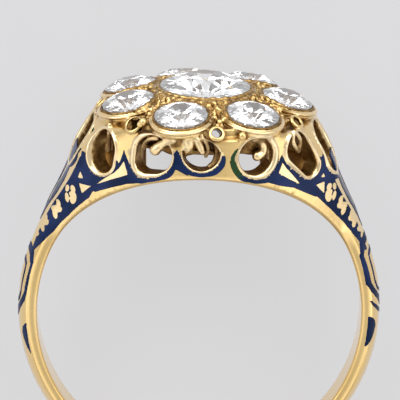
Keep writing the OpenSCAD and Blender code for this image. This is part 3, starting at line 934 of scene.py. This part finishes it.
def math_node(tree, operation, a, b):
    made = node(tree, "ShaderNodeMath", operation=operation)
    for i, value in enumerate((a, b)):
        if isinstance(value, (int, float)):
            made.inputs[i].default_value = value
        else:
            tree.links.new(value, made.inputs[i])
    return made.outputs[0]


def bump(tree, shader, height):
    made = node(tree, "ShaderNodeBump")
    made.inputs["Strength"].default_value = 0.12
    made.inputs["Distance"].default_value = 0.00006
    tree.links.new(height, made.inputs["Height"])
    tree.links.new(made.outputs["Normal"], shader.inputs["Normal"])


GOLD_DEEP = (0.9, 0.6, 0.19, 1)
GOLD_PALE = (0.94, 0.66, 0.25, 1)
# The pale cream of the painted highlights on rims and edges
GOLD_HIGHLIGHT = (0.99, 0.76, 0.42, 1)
# The two browns colour the painted shade and stain in the gold's hollows
BROWN_DARK = (0.1, 0.038, 0.005, 1)
BROWN_WARM = (0.36, 0.2, 0.07, 1)
NAVY_DARK = (0.001, 0.01, 0.045, 1)
NAVY_PALE = (0.018, 0.034, 0.12, 1)
GREEN = (0.02, 0.055, 0.02, 1)
FLOOR_DARK = (0.1, 0.1, 0.102, 1)
FLOOR_PALE = (0.11, 0.11, 0.112, 1)


def gold_material():
    """Polished gold under a clear shine, brown and duller where painted shade and a stain lie in its hollows,
    paler where a highlight is painted
    """
    material, tree, shader = new_material("yellow_gold", Metallic=1, Coat_IOR=2.0, Coat_Roughness=0.12)
    cloud = noise(tree, 900, 4, 0.6)
    # This attribute is painted shade in the gold's crevices and hollows, coloured brown like a stain
    shade_stain = math_node(tree, "MULTIPLY", attribute(tree, "patina"), ranged(tree, cloud, 0.3, 0.7, 0.75, 1))
    base = mixed(tree, speckle(tree, 260, 2, 0.3, 0.7), GOLD_DEEP, GOLD_PALE)
    # Painted highlight: the gold is lightened towards a pale cream where this attribute is set
    base = mixed(tree, attribute(tree, "polish"), base, GOLD_HIGHLIGHT)
    brown = mixed(tree, speckle(tree, 4200, 3, 0.42, 0.68, rough=0.6), BROWN_DARK, BROWN_WARM)
    tree.links.new(mixed(tree, shade_stain, base, brown), shader.inputs["Base Color"])
    tree.links.new(ranged(tree, shade_stain, 0.05, 0.6, 0.8, 0.05), shader.inputs["Coat Weight"])
    rough = math_node(tree, "ADD", speckle(tree, 1500, 3, 0.3, 0.7, 0.17, 0.26),
                      math_node(tree, "MULTIPLY", shade_stain, 0.25))
    tree.links.new(rough, shader.inputs["Roughness"])
    height = math_node(tree, "ADD", noise(tree, 2600, 3), math_node(tree, "MULTIPLY", shade_stain, cloud))
    bump(tree, shader, height)
    return material


def enamel_material():
    """Navy enamel with paler clouds, partly random tone and partly a painted sheen, and green patches"""
    material, tree, shader = new_material("glossy_enamel", IOR=1.5, Specular_IOR_Level=0.12,
                                          Sheen_Weight=0.4, Sheen_Roughness=0.12)
    # The paler clouds are partly a painted reflection of the glaze's sheen
    navy = mixed(tree, speckle(tree, 420, 3, 0.42, 0.75), NAVY_DARK, NAVY_PALE)
    tree.links.new(mixed(tree, attribute(tree, "green"), navy, GREEN), shader.inputs["Base Color"])
    tree.links.new(speckle(tree, 1800, 3, 0.3, 0.7, 0.14, 0.3), shader.inputs["Roughness"])
    bump(tree, shader, noise(tree, 900, 2))
    return material


def diamond_material():
    # The faint white emission is painted light: the stones glow a little, though they are no lamp
    return new_material("old_cut_diamond", Base_Color=(0.98, 0.985, 1.0, 1), Roughness=0, IOR=2.417,
                        Transmission_Weight=1, Emission_Color=(1, 1, 1, 1), Emission_Strength=0.05)[0]


def floor_material():
    material, tree, shader = new_material("pale_floor", Emission_Color=(1, 0.995, 1.015, 1),
                                          Emission_Strength=0.583, Roughness=0.9, Specular_IOR_Level=0.1)
    tree.links.new(mixed(tree, speckle(tree, 40, 3, 0.3, 0.7), FLOOR_DARK, FLOOR_PALE),
                   shader.inputs["Base Color"])
    return material


GOLD = gold_material()
ENAMEL = enamel_material()
DIAMOND = diamond_material()

BODY_VOXEL = 0.06
CROWN_VOXEL = 0.052
ENAMEL_VOXEL = 0.035


def gold_patina(points, normal):
    """Painted shade, brown like a stain: how dark the gold is where metal hems it in, in crevices, inside the
    gallery, in the seats and between the stones
    """
    x, y, z = points.T
    # Painted shade where little lies open in front of the gold, inside the gallery, in the grooves of the cut
    # metal and in the seats
    dark = 1 - step(0.3, 0.95, openness(gold, points, normal, (0.1, 0.3, 0.7)))
    inside = step(0.06, 0.16, -outer_form(x, y, z)) * step(7.6, 8.2, z) * step(10.6, 10.4, z)
    r = np.hypot(x, y)
    cut = (0.08 + 0.87 * step(-0.045, 0.045, bright_cut(x, y, z))) * step(4.9, 4.5, r) * step(10.7, 10.9, z)
    for middle, axis, side in STONES:
        height, radius = along(x, y, z, middle, axis)
        outward = offset(x, y, z, middle, side)
        cut *= 1 - step(0.1, 0.7, outward) * step(1.9, 1.7, radius) * step(-0.6, -0.4, height)
        dark = np.maximum(dark, step(1.49, 1.45, radius) * step(-2.4, -2.2, height))
    dark = np.maximum(dark, step(2.42, 2.38, r) * step(9.5, 9.6, z))
    return np.clip(np.maximum(np.maximum(dark, inside * 0.97), cut), 0, 1)


def gold_polish(points):
    """Painted highlight, how much the gold is lightened towards a pale cream: on the loops' rims, the curled
    wires, the lobes' outer edges, the ridges and the small fields in the shoulders' enamel"""
    x, y, z = points.T
    gap, rim = loops(x, y, z)
    outside = step(-0.16, -0.06, outer_form(x, y, z))
    bright = step(-0.06, 0.02, gap) * step(0.03, -0.03, rim) * outside
    side, flank, _ = head_walls(x, y, z)
    flat = step(-0.15, -0.05, flank)
    bright = np.maximum(bright, step(-0.2, -0.08, side) * flat * step(3.5, 5, z) * step(9.5, 8.5, z))
    angle = np.degrees(np.arctan2(np.abs(x), z))
    lower = np.where(x < 0, *(np.interp(angle, *zip(*LOWER_EDGE[s])) for s in (-1, 1)))
    fields = step(0, 0.15, np.hypot(x, z) - lower) * step(20, 24, angle) * step(70, 62, angle)
    bright = np.maximum(bright, 0.65 * fields * flat * step(9.3, 8.9, z))
    bright = np.maximum(bright, 0.7 * step(0.04, 0.01, scrolls(x, y, z)))
    for middle, axis, side in STONES:
        height, radius = along(x, y, z, middle, axis)
        wire = np.hypot(radius - LOBE_EDGE_R, height - LOBE_EDGE_Z)
        edge = step(0.16, 0.08, wire) * step(0, 0.5, offset(x, y, z, middle, side))
        bright = np.maximum(bright, 0.6 * edge)
    return bright


def green_patches(points):
    """Where the enamel of the flanks is green: beside the front's fifth loop, and high at the left"""
    x, y, z = points.T
    fifth = step(0.55, 0.35, np.abs(x - 1.45)) * step(8.3, 8.7, z)
    return np.maximum(fifth, step(9.3, 9.4, z) * step(-5.4, -5.5, x))


# The gold's layers, of which each laps over the next: name, bottom, top, reach along X and along Y, voxel
# and adaptivity of the mesh
LAYERS = (("gold_body", -9.3, 10.05, 9.5, 5.6, BODY_VOXEL, 0.05),
          ("gold_gallery", 10.05, 10.7, 6.2, 6.2, CROWN_VOXEL, 0.03),
          ("gold_crown", 10.7, 12, 6.2, 6.2, CROWN_VOXEL, 0.03))
for name, bottom, top, reach_x, reach_y, voxel, adaptivity in LAYERS:
    whole, cut = gold_layer(bottom, top)
    low, high = (-reach_x, -reach_y, bottom - 0.2), (reach_x, reach_y, top + 0.2)
    points, faces, normal = surface(cut, low, high, voxel, adaptivity, whole)
    # Each gold piece carries painted shade in its hollows and painted highlights on its rims and edges
    add_piece(name, points, faces, normal, GOLD, "gold", ["ring_mount"],
              patina=gold_patina(points, normal), polish=gold_polish(points))

# The enamel: name, pattern, flank or side, and the box that it lies in
INLAYS = (("front", flank_pattern(1), 1, 0, (-9.4, -5.6, 2.0), (9.4, -0.3, 10.6)),
          ("back", flank_pattern(-1), -1, 0, (-9.4, 0.3, 2.0), (9.4, 5.6, 10.6)),
          ("left", face_pattern(-1), 0, -1, (-9.6, -3, -3.5), (-4, 3, 9.4)),
          ("right", face_pattern(1), 0, 1, (4, -3, -3.5), (9.6, 3, 9.4)))
for name, pattern, face, side, low, high in INLAYS:
    points, faces, normal = surface(enamel_field(pattern, face, side), low, high, ENAMEL_VOXEL, 0.1)
    add_piece("enamel_%s_inlay" % name, points, faces, normal, ENAMEL, "enamel", ["enamel_" + name],
              green=green_patches(points) if face else np.zeros(len(points)))

for obj in list(bpy.data.objects):
    if obj.type == "MESH" and "diamond" in obj.name:
        obj.data.materials.clear()
        obj.data.materials.append(DIAMOND)


# Half the floor's width, in metres
FLOOR_HALF = 0.6


def floor():
    mesh = bpy.data.meshes.new("floor")
    corners = [(a * FLOOR_HALF, b * FLOOR_HALF, 0) for a, b in ((-1, -1), (1, -1), (1, 1), (-1, 1))]
    mesh.from_pydata(corners, [], [(0, 1, 2, 3)])
    mesh.materials.append(floor_material())
    obj = new_object("floor", mesh)


def lamp(name, towards, power, angle):
    """A broad, far light, given by where it stands"""
    light = bpy.data.lights.new(name, "SUN")
    light.energy = power
    light.angle = math.radians(angle)
    new_object(name, light).rotation_euler = Vector(towards).to_track_quat("Z", "Y").to_euler()


# The soft boxes: direction, cosines from which each begins to show and is full, and power. Two stand in
# front of the head, one low between them, and two beside the ring.
SOFT_BOXES = (((0.55, -0.62, 0.56), 0.88, 0.94, 1.9), ((-0.6, -0.5, 0.62), 0.89, 0.95, 1.7),
              ((0, -0.95, 0.3), 0.88, 0.96, 0.9),
              ((0.96, 0.28, 0.02), 0.93, 0.98, 0.7), ((-0.96, 0.28, 0.02), 0.92, 0.98, 0.95))


def world():
    """Pale surroundings: a bright band part of the way up, and soft boxes"""
    made = bpy.data.worlds.new("studio")
    bpy.context.scene.world = made
    bpy.context.scene.view_settings.view_transform = "Standard"
    made.use_nodes = True
    tree = made.node_tree
    background = tree.nodes["Background"]
    coords = node(tree, "ShaderNodeTexCoord").outputs["Generated"]
    split = node(tree, "ShaderNodeSeparateXYZ")
    tree.links.new(coords, split.inputs[0])
    total = math_node(tree, "MULTIPLY", ranged(tree, split.outputs["Z"], 0.1, 0.4, 0.45, 1.15),
                      ranged(tree, split.outputs["Z"], 0.55, 0.85, 1, 0.52))
    for towards, edge, full, power in SOFT_BOXES:
        aim = node(tree, "ShaderNodeVectorMath", operation="DOT_PRODUCT")
        tree.links.new(coords, aim.inputs[0])
        aim.inputs[1].default_value = Vector(towards).normalized()
        glow = ranged(tree, aim.outputs["Value"], edge, full, 0, power)
        total = math_node(tree, "ADD", total, glow)
    tree.links.new(total, background.inputs["Strength"])
    background.inputs["Color"].default_value = (1, 1, 1, 1)


# The camera in the ring's own frame: pitch, yaw and roll in degrees, distance, and what it looks at
CAMERA_ANGLES = (16.21, 1.35, 1.64)
CAMERA_DISTANCE = 200
CAMERA_TARGET = np.array([-0.101, 0, 5.824])
PIXELS_PER_MM = 19.471
PHOTO_WIDTH = 400
SENSOR = 36


def camera():
    """The photograph's view: almost straight down onto the front flank, with the head up the frame"""
    pitch, yaw, roll = map(math.radians, CAMERA_ANGLES)
    ahead = np.array([math.sin(yaw) * math.cos(pitch), math.cos(yaw) * math.cos(pitch), -math.sin(pitch)])
    right = np.cross(ahead, (0, 0, 1))
    right /= np.linalg.norm(right)
    up = np.cross(right, ahead)
    right, up = math.cos(roll) * right + math.sin(roll) * up, math.cos(roll) * up - math.sin(roll) * right
    axes = [TO_WORLD @ v for v in (right, up, -ahead)]
    at = to_world((CAMERA_TARGET - CAMERA_DISTANCE * ahead)[None])[0]
    data = bpy.data.cameras.new("camera")
    data.sensor_width = SENSOR
    data.lens = PIXELS_PER_MM * CAMERA_DISTANCE * SENSOR / PHOTO_WIDTH
    data.clip_start = 0.005
    data.clip_end = 5
    obj = new_object("camera", data)
    obj.matrix_world = Matrix([[axis[r] for axis in axes] + [at[r]] for r in range(3)] + [[0, 0, 0, 1]])
    bpy.context.scene.camera = obj


floor()
lamp("head_light", (0.35, -0.75, 0.5), 0.25, 26)
lamp("left_light", (0.85, -0.2, 0.6), 0.15, 22)
world()
camera()
